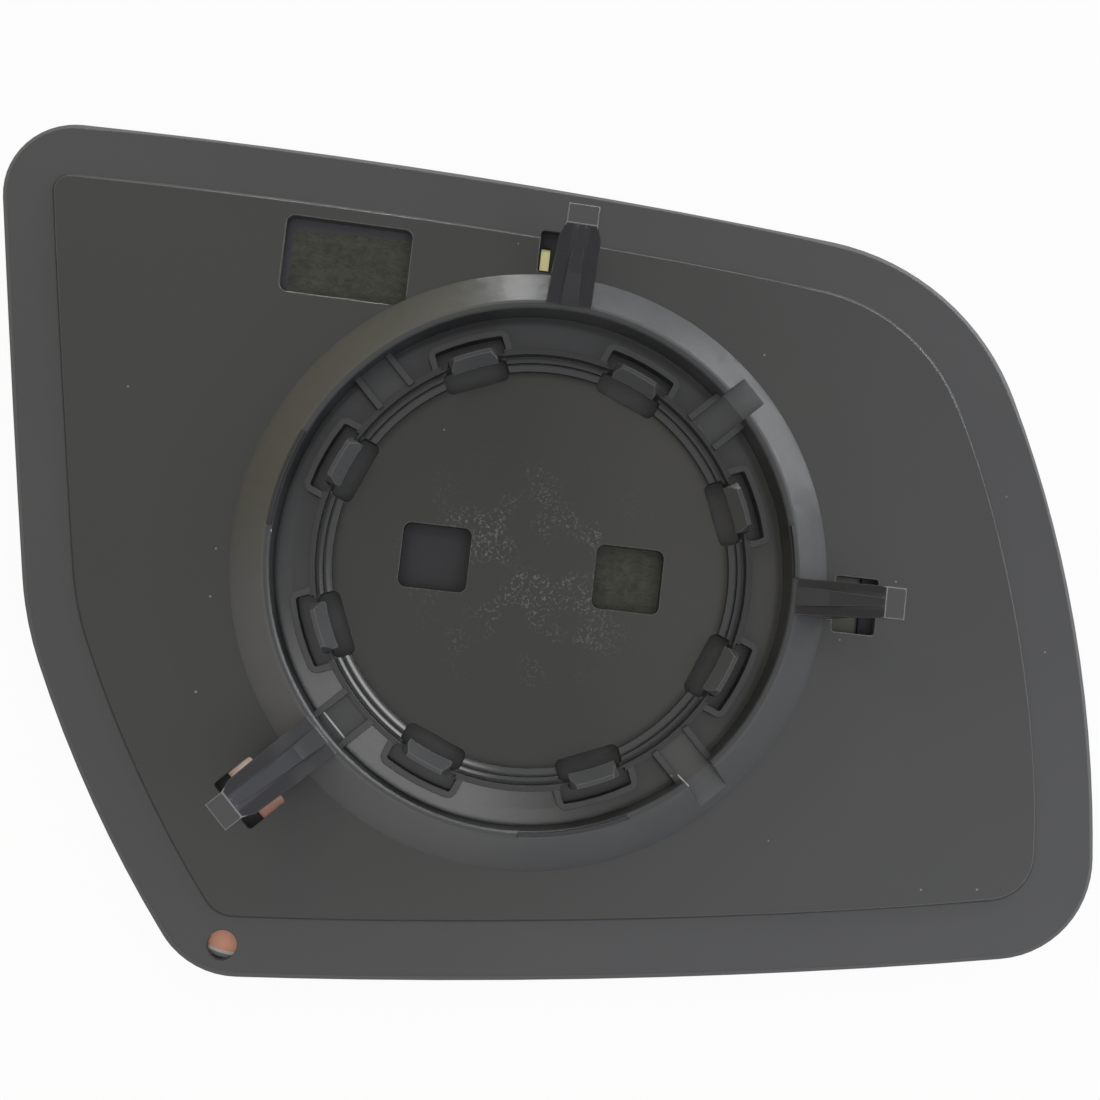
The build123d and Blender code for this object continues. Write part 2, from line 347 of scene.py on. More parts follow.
@dataclass(frozen=True)
class Dish:
    """The concentric spheres that bound the glass, the foam and the plate."""

    centre_height: float = 1394.5
    mirror_radius: float = 1400.0
    glass_thickness: float = 2.0
    glue_line: float = 0.1
    pad_thickness: float = 0.8

    @property
    def glass_back(self) -> float:
        """Radius of the coated back of the glass."""
        return self.mirror_radius - self.glass_thickness

    @property
    def pad_front(self) -> float:
        """Radius of the foam's side on the glass."""
        return self.glass_back - self.glue_line

    @property
    def pad_back(self) -> float:
        """Radius of the foam's side on the plate."""
        return self.pad_front - self.pad_thickness

    def lift(self, plan: np.ndarray, radius: float) -> np.ndarray:
        """Puts plan points onto a sphere: height is the centre's less the root of radius² - x² - y².

        Args:
            plan: Array whose last axis holds x and y.
            radius: Radius of the sphere.

        Returns:
            The same array with the heights as a third part.
        """
        height = self.centre_height - np.sqrt(radius**2 - np.sum(plan**2, axis=-1))
        return np.concatenate((plan, height[..., None]), axis=-1)


@dataclass(frozen=True)
class Outline:
    """A smooth closed path round a CAD node, seen from above."""

    points: np.ndarray
    normals: np.ndarray
    shortest_chord = 0.25

    @classmethod
    def around(cls, node: CadNode, count: int) -> "Outline":
        """Carries a cubic through the node's outermost corners.

        On each chord the curve is the cubic with the chord's ends and the slopes there, where a slope is
        that of the parabola through a corner and its two neighbours. Samples are spaced evenly.

        Args:
            node: The CAD node to go round.
            count: How many samples to take.

        Returns:
            The path, with its outward normals.
        """
        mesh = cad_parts[node.value].data
        flat = np.empty(len(mesh.vertices) * 3, dtype=np.float32)
        mesh.vertices.foreach_get("co", flat)
        plan = flat.reshape(-1, 3)[:, :2].astype(float) / MM
        hull = plan[convex_hull_2d([Vector(p) for p in plan])]
        chord = np.linalg.norm(np.roll(hull, -1, axis=0) - hull, axis=1)
        hull = hull[chord > cls.shortest_chord]
        step = np.roll(hull, -1, axis=0) - hull
        length = np.linalg.norm(step, axis=1)[:, None]
        before = np.roll(length, 1, axis=0)
        ahead = step / length
        slope = (before * ahead + length * np.roll(ahead, 1, axis=0)) / (before + length)
        reach = np.concatenate(([0.0], np.cumsum(length)))
        along = np.linspace(0.0, reach[-1], count, endpoint=False)
        k = np.searchsorted(reach, along, side="right") - 1
        t = ((along - reach[k]) / length[k, 0])[:, None]
        size, start, end = length[k], hull[k], np.roll(hull, -1, axis=0)[k]
        leave, arrive = slope[k] * size, np.roll(slope, -1, axis=0)[k] * size
        points = (
            (2 * t**3 - 3 * t**2 + 1) * start
            + (t**3 - 2 * t**2 + t) * leave
            + (3 * t**2 - 2 * t**3) * end
            + (t**3 - t**2) * arrive
        )
        tangent = (
            6 * (t**2 - t) * (start - end)
            + (3 * t**2 - 4 * t + 1) * leave
            + (3 * t**2 - 2 * t) * arrive
        )
        tangent /= np.linalg.norm(tangent, axis=1)[:, None]
        return cls(points, np.stack((tangent[:, 1], -tangent[:, 0]), axis=-1))

    def inset(self, distance: float) -> np.ndarray:
        """The path moved inwards along its normals."""
        return self.points - distance * self.normals

    def spokes(self, distance: float, shares: np.ndarray) -> np.ndarray:
        """Copies of the path, inset and then drawn towards the origin, one for each share."""
        return shares[:, None, None] * self.inset(distance)[None]


@dataclass(frozen=True)
class Fade:
    """A smooth change across the part, seen from above, from one place along a direction to another."""

    along_x: float
    along_y: float
    start: float
    end: float

    def mask(self, x: Signal, y: Signal) -> Signal:
        """A mask that goes from 0 at the start to 1 at the end."""
        return (x * self.along_x + y * self.along_y).ramp(self.start, self.end)


@dataclass(frozen=True)
class Glint:
    """A short straight painted glint: its two ends, half its width and the heights it lies between."""

    start: Pair
    end: Pair
    half_width: float
    lowest: float
    highest: float
    soft: float = 0.1
    side_soft: float = 0.06

    def mask(self, spot: "PlateSurface") -> Signal:
        """A mask that is 1 within half the width of the way from one end to the other, and 0 elsewhere.

        Args:
            spot: The surface point.

        Returns:
            The mask.
        """
        length = math.dist(self.start, self.end)
        way_x, way_y = ((b - a) / length for a, b in zip(self.start, self.end))
        past_x, past_y = spot.x - self.start[0], spot.y - self.start[1]
        along = past_x * way_x + past_y * way_y
        aside = abs(past_x * way_y - past_y * way_x)
        line = along.band(0.0, length, self.soft) * spot.z.band(self.lowest, self.highest, self.soft)
        return line * aside.below(self.half_width, self.side_soft)


class PlateSurface:
    """The plate's surface in a node graph: signals at a point, and masks of its regions and edges."""

    def __init__(self, graph: Graph, plate: "BackingPlate", finish: "SatinPlastic") -> None:
        """Adds the nodes that the masks share, and then the masks.

        The rise is the height over the dished field. Low left is 1 on the way to the lower arm and -1 on
        the opposite side. The bend is 1 less the cosine between the facet's normal and the normal averaged
        round the point. It is above 0 at edges and in creases, and the openness tells these apart.

        Args:
            graph: The graph to add to.
            plate: The plate whose sizes bound the regions.
            finish: The finish whose reaches are used.
        """
        self.graph, self.plate = graph, plate
        self.place = graph.place()
        self.x, self.y, self.z = graph.axes(self.place)
        self.across = (self.x * self.x + self.y * self.y).root()
        self.rise = self.z - self.across * self.across * (0.5 / plate.dish_radius) + plate.seat_rise
        self.low_left = (self.x + self.y) * -SLANT / (self.across + TINY)
        rays = {"samples": finish.ray_samples}
        reach = {"Distance": finish.crease_reach * MM}
        self.flat = graph.make("ShaderNodeNewGeometry", output="Normal")
        self.bevel = graph.make("ShaderNodeBevel", rays, {"Radius": finish.edge_radius * MM})
        self.bend = 1.0 - graph.vector("DOT_PRODUCT", self.bevel, self.flat, output="Value")
        self.openness = graph.make("ShaderNodeAmbientOcclusion", rays, reach, "AO")
        self.cloud = graph.noise(self.place, finish.cloud_scale, 1.0)
        self._mark_regions()
        self._mark_arms()
        self._mark_edges()

    def _mark_regions(self) -> None:
        """Marks the field, the seat and the ring by the distance from the axis and by the height."""
        plate, across, z = self.plate, self.across, self.z
        self.outside = across.above(plate.foot_radius, 0.05)
        self.border = self.outside * self.rise.below(plate.border_level, 0.125)
        self.halo = self.outside * across.ramp(plate.halo_start, plate.halo_end)
        self.seat = across.below(plate.seat_radius, 0.1)
        self.cone = across.band(plate.crest_radius - 0.3, plate.foot_radius, 0.05)
        beads = across.band(plate.seat_radius + 0.35, plate.inner_bead_radius - 0.25, 0.15)
        beads = beads | across.band(plate.outer_bead_start + 0.2, plate.outer_bead_radius - 0.2, 0.1)
        beads = beads * z.band(plate.bead_height - 0.2, plate.bead_height + 0.2, 0.1)
        self.polish = beads * self.low_left.ramp(0.7, 0.95)
        gap = across.band(plate.outer_bead_radius, plate.rib_start, 0.05)
        self.gap = gap * z.below(plate.gap_level, 0.1)
        rib = across.band(plate.rib_start, plate.rib_radius, 0.05)
        self.rib = rib * z.band(plate.rib_height - 0.3, plate.rib_height + 0.2, 0.1)
        channel = across.band(plate.rib_radius, plate.wall_radius, 0.1)
        self.channel = channel * z.below(plate.channel_level, 0.15)
        clip = across.band(plate.seat_radius - 1.0, plate.rib_radius + 1.0, 0.2)
        self.clip = clip * z.above(plate.clip_level, 0.2)
        pitch = 2 * math.pi / plate.clip_count
        steps = self.graph.math("ARCTAN2", self.y, self.x) / pitch - 0.5
        aside = abs(steps - self.graph.math("ROUND", steps)) * across * pitch
        # The floor inside each clip frame, behind the tongue, is painted dark as painted shade.
        shaded_frame_floor = aside.below(plate.frame_gap / 2, 0.1) * z.below(plate.frame_level, 0.2)
        self.shaded_frame_floor = shaded_frame_floor * across.band(plate.rib_radius - 1.5, plate.frame_radius, 0.1)

    def _mark_arms(self) -> None:
        """Marks the hook arms, which stand on three rays from the axis, and their flanks and ends."""
        plate, x, y, z = self.plate, self.x, self.y, self.z
        top = abs(x).below(plate.top_arm_half, 0.1) * y.ramp(0.0, 1.0)
        right = abs(y).below(plate.right_arm_half, 0.05) * x.ramp(0.0, 1.0)
        low = (abs(x - y) * SLANT).below(plate.low_arm_half, 0.07) * (x + y).ramp(0.0, -1.0)
        on_ring = (1.0 - self.outside) * self.across.above(plate.wall_radius - 0.15, 0.15)
        on_ring = on_ring * z.above(plate.rim_height + 0.225, 0.075)
        self.arm = on_ring * (top | right | low) | self.outside * self.rise.above(plate.arm_level, 0.2)
        # The lower arm's root is painted near black as painted shade, and made rougher.
        self.root = self.arm * self.low_left.ramp(0.9, 0.95) * self.across.below(plate.root_reach, 3.0)
        self.hook = z.above(plate.arm_height - 0.125, 0.075)
        aside = self.graph.math("MINIMUM", abs(x - plate.top_arm_shift), abs(y))
        aside = self.graph.math("MINIMUM", aside, abs(x - y) * SLANT)
        # The arms' flanks beside their ribs are painted dark as painted shade.
        self.shaded_flank = aside.above(plate.arm_rib_half, 0.3)

    def _mark_edges(self) -> None:
        """Marks the edges, where the surface is bent and open, each kind in its own places."""
        plate = self.plate
        self.foot = self.across.band(plate.foot_radius - 0.5, plate.foot_radius + 0.6, 0.1)
        convex = self.openness.above(0.6, 0.15)
        bent = self.bend.ramp(0.003, 0.06)
        self.fine_edge = bent * convex
        self.edge = self.bend.ramp(0.02, 0.22) * convex * (1.0 - self.foot) * (1.0 - 0.8 * self.border)
        # Painted highlight along the field's raised edge, faded in towards the top and right.
        field_top = self.outside * (1.0 - self.arm) * self.rise.above(plate.field_level, 0.05)
        self.field_edge_highlight = bent * field_top * (1.0 - self.foot)
        # The pale outlines round the hook pads' tops are partly a pale flash line and partly painted
        # highlight.
        tip = self.z.above(plate.arm_height - 0.4, 0.1)
        self.hook_edge = self.bend.ramp(0.001, 0.03) * convex * tip


@dataclass(frozen=True)
class SatinPlastic:
    """Black moulded plastic: a satin field, a cone painted paler as sheen, a shiny channel, dark arms, pale
    edges.
    """

    field_colour: Colour = (0.029, 0.029, 0.028, 1.0)
    # Painted sheen: lighter colours of the field and border for their lower right.
    field_sheen_colour: Colour = (0.049, 0.049, 0.048, 1.0)
    border_colour: Colour = (0.054, 0.054, 0.056, 1.0)
    border_sheen_colour: Colour = (0.064, 0.064, 0.068, 1.0)
    seat_colour: Colour = (0.024, 0.024, 0.022, 1.0)
    far_seat_colour: Colour = (0.043, 0.042, 0.036, 1.0)
    # The cone is painted paler than the field as a painted sheen, warmer upper left, palest lower left.
    cone_sheen_colour: Colour = (0.078, 0.079, 0.082, 1.0)
    warm_light_cone_colour: Colour = (0.080, 0.077, 0.064, 1.0)
    low_cone_sheen_colour: Colour = (0.108, 0.108, 0.112, 1.0)
    ring_colour: Colour = (0.034, 0.035, 0.037, 1.0)
    # Painted light: a lighter, olive colour for the ring's low parts towards the right.
    lit_ring_colour: Colour = (0.056, 0.055, 0.049, 1.0)
    rib_colour: Colour = (0.016, 0.016, 0.017, 1.0)
    gap_colour: Colour = (0.10, 0.10, 0.10, 1.0)
    # Painted shade on the floor inside the clip frames.
    frame_shade_colour: Colour = (0.022, 0.022, 0.023, 1.0)
    arm_colour: Colour = (0.027, 0.026, 0.031, 1.0)
    low_arm_colour: Colour = (0.038, 0.038, 0.046, 1.0)
    # Painted shade on the arms' flanks.
    flank_shade_colour: Colour = (0.014, 0.013, 0.017, 1.0)
    # Painted shade on the lower arm's root.
    root_shade_colour: Colour = (0.006, 0.006, 0.008, 1.0)
    hook_colour: Colour = (0.062, 0.062, 0.063, 1.0)
    # Pale edges: partly whitened edges, partly painted highlight.
    edge_wear_and_highlight_colour: Colour = (0.12, 0.12, 0.12, 1.0)
    # Painted highlight on clip and seat rims.
    clip_edge_highlight_colour: Colour = (0.22, 0.22, 0.22, 1.0)
    # Painted highlight on the field's raised edge.
    field_edge_highlight_colour: Colour = (0.32, 0.32, 0.31, 1.0)
    # Partly pale flash line, partly painted highlight.
    hook_flash_and_highlight_colour: Colour = (0.55, 0.55, 0.52, 1.0)
    scuff_colour: Colour = (0.13, 0.13, 0.12, 1.0)
    speck_colour: Colour = (0.24, 0.24, 0.23, 1.0)
    glint_colour: Colour = (0.55, 0.56, 0.58, 1.0)

    sheen_fade: Fade = Fade(0.8, -0.35, -70.0, 50.0)
    seat_fade: Fade = Fade(1.0, 0.3, -5.0, 35.0)
    ring_light_fade: Fade = Fade(1.0, -0.5, 8.0, 42.0)
    warm_light_fade: Fade = Fade(-0.94, 0.34, 10.0, 42.0)
    field_edge_highlight_fade: Fade = Fade(0.7, 1.0, -75.0, 45.0)
    halo_share: float = 0.15
    edge_share: float = 0.5
    clip_highlight_share: float = 0.6
    seat_highlight_share: float = 0.7
    cloud_depth: float = 0.16
    # Painted shade in creases.
    crease_shade_depth: float = 0.3

    field_roughness: float = 0.48
    cone_roughness: float = 0.22
    ring_roughness: float = 0.38
    channel_roughness: float = 0.17
    arm_roughness: float = 0.30
    edge_roughness: float = 0.26
    bead_roughness: float = 0.12
    root_roughness: float = 0.6
    cloud_roughness: float = 0.06
    refraction: float = 1.5

    ray_samples: int = 2
    edge_radius: float = 0.3
    crease_reach: float = 3.0
    cloud_scale: float = 0.03
    grain_size: float = 0.25
    grain_height: float = 0.004
    groove_spread: float = math.radians(14.0)
    grooves: float = 997.0
    streak_turn: float = 0.25
    streaks_round: float = 30.0
    streak_slant: float = 0.02
    speck_cell: float = 9.0
    speck_radius: float = 0.22
    speck_share: float = 0.07
    speck_depth: float = 0.8
    scuff_patches: float = 0.11
    scuff_lines: float = 0.75
    scuff_breaks: float = 1.7
    scuff_near: float = 10.0
    scuff_far: float = 24.0
    scuff_depth: float = 0.75
    glints: tuple[Glint, ...] = (
        Glint((-32.05, -28.0), (-28.0, -32.0), 0.14, 2.1, 3.2),
        Glint((28.4, -32.1), (30.5, -33.8), 0.12, 2.1, 4.0),
        Glint((-43.1, 1.9), (-43.6, 0.7), 0.30, 6.8, 8.6),
    )

    def material(self, plate: "BackingPlate") -> Material:
        """Builds the finish.

        Args:
            plate: The plate whose sizes bound the regions.

        Returns:
            The new material.
        """
        material, graph = new_material("satin_black_plastic")
        spot = PlateSurface(graph, plate, self)
        finish_material(graph, {
            "Base Color": self._wear_and_painted_light(spot, self._regions_and_painted_light(spot)),
            "Roughness": self._roughness(spot),
            "Normal": self._normal(spot),
            "IOR": self.refraction,
            "Coat Weight": spot.polish,
            "Coat Roughness": self.bead_roughness,
        })
        return material

    def _regions_and_painted_light(self, spot: PlateSurface) -> Signal:
        """Region colours with painted sheen and shade, laid over each other from the ring outwards and
        upwards.

        Args:
            spot: The surface point.

        Returns:
            The colour.
        """
        graph, x, y, plate = spot.graph, spot.x, spot.y, spot.plate
        # Painted sheen: the field and the border are painted lighter towards the lower right.
        sheen = self.sheen_fade.mask(x, y)
        field = graph.mix(sheen, self.field_colour, self.field_sheen_colour)
        margin = graph.mix(sheen, self.border_colour, self.border_sheen_colour)
        disc = graph.mix(self.seat_fade.mask(x, y), self.seat_colour, self.far_seat_colour)
        # Painted light: the channel floor and low ring faces are painted lighter and more olive to the
        # right.
        olive = self.ring_light_fade.mask(x, y) * spot.across.ramp(plate.rib_radius, plate.rib_radius + 0.1)
        olive = olive * spot.z.below(plate.rib_height - 0.25, 0.05)
        ring = graph.mix(olive, self.ring_colour, self.lit_ring_colour)
        # Painted sheen on the cone: warm light painted towards the upper left, palest at the lower left.
        cone = graph.mix(self.warm_light_fade.mask(x, y), self.cone_sheen_colour, self.warm_light_cone_colour)
        cone = graph.mix(spot.low_left.ramp(0.6, 0.95), cone, self.low_cone_sheen_colour)
        blade = graph.mix(spot.low_left.ramp(0.5, 0.9), self.arm_colour, self.low_arm_colour)
        # Painted shade in the clip frames, on the arms' flanks and on the lower arm's root.
        return graph.layers(
            graph.mix(spot.outside, ring, field),
            (spot.halo * self.halo_share, margin),
            (spot.border, margin),
            (spot.seat, disc),
            (spot.rib, self.rib_colour),
            (spot.cone, cone),
            (spot.shaded_frame_floor, self.frame_shade_colour),
            (spot.arm, graph.mix(spot.shaded_flank, blade, self.flank_shade_colour)),
            (spot.root, self.root_shade_colour),
            (spot.hook, self.hook_colour),
        )

    def _wear_and_painted_light(self, spot: PlateSurface, colour: Signal) -> Signal:
        """The colour with clouds, scuffs, specks, painted shade in creases, pale edges and painted glints.

        Args:
            spot: The surface point.
            colour: The colours of the regions, painted sheen and shade included.

        Returns:
            The colour.
        """
        graph = spot.graph
        # Painted shade: within the ring, creases that ambient occlusion finds closed are painted darker.
        lit = spot.openness.ramp(0.15, 0.8) | spot.outside
        tone = (1.0 - self.cloud_depth / 2) + self.cloud_depth * spot.cloud
        tone = tone * ((1.0 - self.crease_shade_depth) + self.crease_shade_depth * lit)
        colour = graph.mix(1.0, colour, graph.grey(tone), "MULTIPLY")

        # Painted highlights on the clip tongues' edges and the seat's rims, near the middle and towards
        # lower left.
        seat_edge_highlight = spot.low_left.ramp(-0.5, 0.8) | spot.across.below(spot.plate.window_reach, 1.0)
        rims = spot.clip * self.clip_highlight_share | spot.seat * seat_edge_highlight * self.seat_highlight_share
        # Pale edges are partly whitened and partly painted highlights; the arms' rib lines are painted
        # highlights.
        arm_edge_highlight = spot.fine_edge * spot.arm * (1.0 - spot.root)
        # Painted glints: short pale lines where glints lie.
        glints = functools.reduce(operator.or_, (glint.mask(spot) for glint in self.glints))
        _, _, upright = graph.axes(spot.flat)
        return graph.layers(
            colour,
            (spot.gap, self.gap_colour),
            (spot.edge * self.edge_share, self.edge_wear_and_highlight_colour),
            (spot.field_edge_highlight * self.field_edge_highlight_fade.mask(spot.x, spot.y), self.field_edge_highlight_colour),
            (arm_edge_highlight * self.edge_share, self.edge_wear_and_highlight_colour),
            (spot.fine_edge * rims, self.clip_edge_highlight_colour),
            (spot.hook_edge, self.hook_flash_and_highlight_colour),
            (glints, self.glint_colour),
            (spot.seat * self._scuffs(spot), self.scuff_colour),
            (self._specks(spot) * upright.above(0.7, 0.1), self.speck_colour),
        )

    def _roughness(self, spot: PlateSurface) -> Signal:
        """The roughness of the regions, laid over each other as their colours are.

        Args:
            spot: The surface point.

        Returns:
            The roughness.
        """
        base = self.ring_roughness
        rough = base + (spot.outside | spot.seat) * (self.field_roughness - base)
        rough = rough + spot.cone * (self.cone_roughness - base)
        rough = rough + spot.channel * (1.0 - spot.shaded_frame_floor) * (self.channel_roughness - base)
        rough = rough + spot.polish * (self.bead_roughness - base)
        for mask, level in (
            (spot.arm, self.arm_roughness),
            (spot.root | spot.hook, self.root_roughness),
            (spot.edge, self.edge_roughness),
        ):
            rough = rough + mask * (level - rough)
        return rough + self.cloud_roughness * (spot.cloud - 0.5)

    def _normal(self, spot: PlateSurface) -> Signal:
        """The normal: softened edges away from the cone's foot, true round walls and a fine grain.

        Args:
            spot: The surface point.

        Returns:
            The normal.
        """
        graph = spot.graph
        normal = self._round_normal(spot, graph.mix_vector(spot.foot, spot.bevel, spot.flat))
        grain = graph.noise(spot.place, 1.0 / self.grain_size, 0.0)
        return graph.bump(grain, self.grain_height, Normal=normal)

    def _round_normal(self, spot: PlateSurface, normal: Signal) -> Signal:
        """Turns normals of flat facets into those of round walls, the turned cone and the dished field.

        A normal whose level part points along the radius, or nearly, is turned to point along it exactly.
        On the cone it also gets a tilt that wobbles from one hair-fine groove to the next. A nearly upright
        normal outside the ring leans towards the axis by the radius over the dish's radius.

        Args:
            spot: The surface point.
            normal: The normal to correct.

        Returns:
            The corrected normal.
        """
        graph, plate, x, y, across = spot.graph, spot.plate, spot.x, spot.y, spot.across
        nx, ny, nz = graph.axes(normal)
        level = (nx * nx + ny * ny + TINY).root()
        along = (nx * x + ny * y) / (level * across + TINY)
        size = level * along.sign() / (across + TINY)
        turned = graph.join(x * size, y * size, nz)
        round_wall = abs(along).ramp(0.982, 0.992) * level.above(0.1, 0.02)

        wobble = graph.make(
            "ShaderNodeTexWhiteNoise", {"noise_dimensions": "1D"}, {"W": across * self.grooves}, "Value"
        )
        ray = graph.join(x / across, y / across, across * self.streak_slant)
        streak = graph.noise(ray, self.streaks_round, 2.0, 0.6)
        smudge = graph.noise(ray, 0.25 * self.streaks_round, 1.0)
        spread = self.groove_spread * (0.3 + 0.6 * streak + 0.8 * smudge)
        tilt = plate.cone_tilt + spread * (2.0 * wobble - 1.0)
        reach = graph.math("SINE", tilt) / (across + TINY)
        turn = self.streak_turn * (streak - 0.5)
        grooved = graph.join((x - y * turn) * reach, (y + x * turn) * reach, graph.math("COSINE", tilt))
        steep = math.sin(plate.cone_tilt)
        cone = along.ramp(0.982, 0.992) * level.band(steep - 0.08, steep + 0.08, 0.02)
        cone = cone * across.band(plate.crest_radius, plate.foot_radius, 0.1)

        lean = -1.0 / plate.dish_radius
        dished = graph.join(x * lean, y * lean, 1.0)
        field = nz.above(0.994, 0.002) * across.ramp(plate.foot_radius, plate.foot_radius + 0.3)
        mixed = graph.mix_vector(round_wall, normal, turned)
        mixed = graph.mix_vector(cone, mixed, grooved)
        mixed = graph.mix_vector(field, mixed, dished)
        return graph.vector("NORMALIZE", mixed)

    def _scuffs(self, spot: PlateSurface) -> Signal:
        """A faint haze of fine broken scuffs near the seat's middle: level lines of a noise, in patches.

        Args:
            spot: The surface point.

        Returns:
            The mask.
        """
        graph, place = spot.graph, spot.place
        patch = graph.noise(place, self.scuff_patches, 1.0).ramp(0.44, 0.60)
        line = abs(graph.noise(place, self.scuff_lines, 2.0, 0.6) - 0.5).ramp(0.05, 0.015)
        broken = graph.noise(place, self.scuff_breaks, 1.0, 0.6).ramp(0.45, 0.58)
        away = (spot.x * spot.x * 0.8 + spot.y * spot.y).root()
        return patch * line * broken * away.ramp(self.scuff_far, self.scuff_near) * self.scuff_depth

    def _specks(self, spot: PlateSurface) -> Signal:
        """A few small dust specks, at most one in each cell of a level pattern.

        Args:
            spot: The surface point.

        Returns:
            The mask.
        """
        graph = spot.graph
        cell = graph.make(
            "ShaderNodeTexVoronoi",
            {"voronoi_dimensions": "2D", "feature": "F1"},
            {"Vector": spot.place, "Scale": 1.0 / self.speck_cell},
            "Distance",
        )
        pick, size, _ = graph.parts(cell.out("Color"))
        radius = (0.5 + 0.5 * size) * (self.speck_radius / self.speck_cell)
        return (cell < radius) * (pick < self.speck_share) * self.speck_depth


@dataclass(frozen=True)
class FuzzyFoam:
    """Dull olive-grey foam with short matted fibres, smoother under the seat, with painted shade and light
    in places.
    """

    dark: Colour = (0.048, 0.049, 0.042, 1.0)
    light: Colour = (0.092, 0.092, 0.077, 1.0)
    # Painted shade on the left half under the seat.
    smooth_shaded_patch: Colour = (0.056, 0.055, 0.059, 1.0)
    # Painted light: lighter foam deep in the clip holes.
    lightened_under_clips: Colour = (0.105, 0.105, 0.106, 1.0)
    # Painted shade under the arms.
    shade_under_arms: Colour = (0.040, 0.039, 0.043, 1.0)
    in_shade: Colour = (0.074, 0.072, 0.083, 1.0)
    roughness: float = 0.95
    shine: float = 0.1
    fibre_height: float = 0.10
    fibre_scale: float = 1.5
    fibre_turn: float = 0.5
    fibre_stretch: Point = (0.5, 1.6, 1.0)
    bend_scale: float = 0.5
    bend_reach: float = 2.5
    tuft_scale: float = 0.45
    smooth_shaded_radius: float = 40.0
    smooth_shaded_side: float = 6.0
    clip_radius: float = 30.0
    arm_half: float = 7.25
    arm_start: float = 47.0
    low_arm_start: float = 52.33
    window_side: float = -21.0
    window_foot: float = 39.0
    shade_side: float = -47.6
    shade_top: float = 55.85
    shade_lean: float = 0.04

    def material(self) -> Material:
        """Builds the finish: fibres from a stretched noise that is bent by a coarser one.

        Returns:
            The new material.
        """
        material, graph = new_material("fuzzy_foam")
        place = graph.place()
        x, y, _ = graph.axes(place)
        bend = graph.noise(place, self.bend_scale).out("Color")
        laid = graph.make(
            "ShaderNodeMapping",
            {},
            {
                "Vector": graph.vector("ADD", place, graph.scaled(bend, self.bend_reach)),
                "Rotation": (0.0, 0.0, self.fibre_turn),
                "Scale": self.fibre_stretch,
            },
        )
        fibre = graph.noise(laid, self.fibre_scale, 3.0, 0.65)
        tuft = graph.noise(place, self.tuft_scale, 3.0)
        shade = (fibre * 0.6 + tuft * 0.4).ramp(0.25, 0.75)
        across = (x * x + y * y).root()
        # The left half under the seat: painted darker as painted shade, and smoother.
        smooth_shaded_patch = across.below(self.smooth_shaded_radius, 1.0) * x.below(0.0, self.smooth_shaded_side)
        # Painted shade on the foam seen beside and under the hook arms.
        arms = abs(x).below(self.arm_half, 0.25) * y.above(self.arm_start, 1.0)
        arms = arms | abs(y).below(self.arm_half, 0.25) * x.above(self.arm_start, 1.0)
        low_arm = (abs(x - y) * SLANT).below(self.arm_half, 0.18)
        arms = arms | low_arm * ((x + y) * -SLANT).above(self.low_arm_start, 1.41)
        window = x.below(self.window_side, 1.0) * y.above(self.window_foot, 1.0)
        shaded = x.below(self.shade_side, 0.2) | (y - x * self.shade_lean).above(self.shade_top, 0.25)
        colour = graph.layers(
            graph.mix(shade, self.dark, self.light),
            (smooth_shaded_patch, self.smooth_shaded_patch),
            # Painted light: the foam in the deep clip holes is painted lighter.
            (across.band(self.clip_radius, self.smooth_shaded_radius, 1.0), self.lightened_under_clips),
            (arms, self.shade_under_arms),
            (window * shaded, self.in_shade),
        )
        height = (fibre + tuft * 1.5) * (1.0 - 0.8 * smooth_shaded_patch)
        finish_material(graph, {
            "Base Color": colour,
            "Roughness": self.roughness,
            "Normal": graph.bump(height, self.fibre_height),
            "Specular IOR Level": self.shine,
        })
        return material


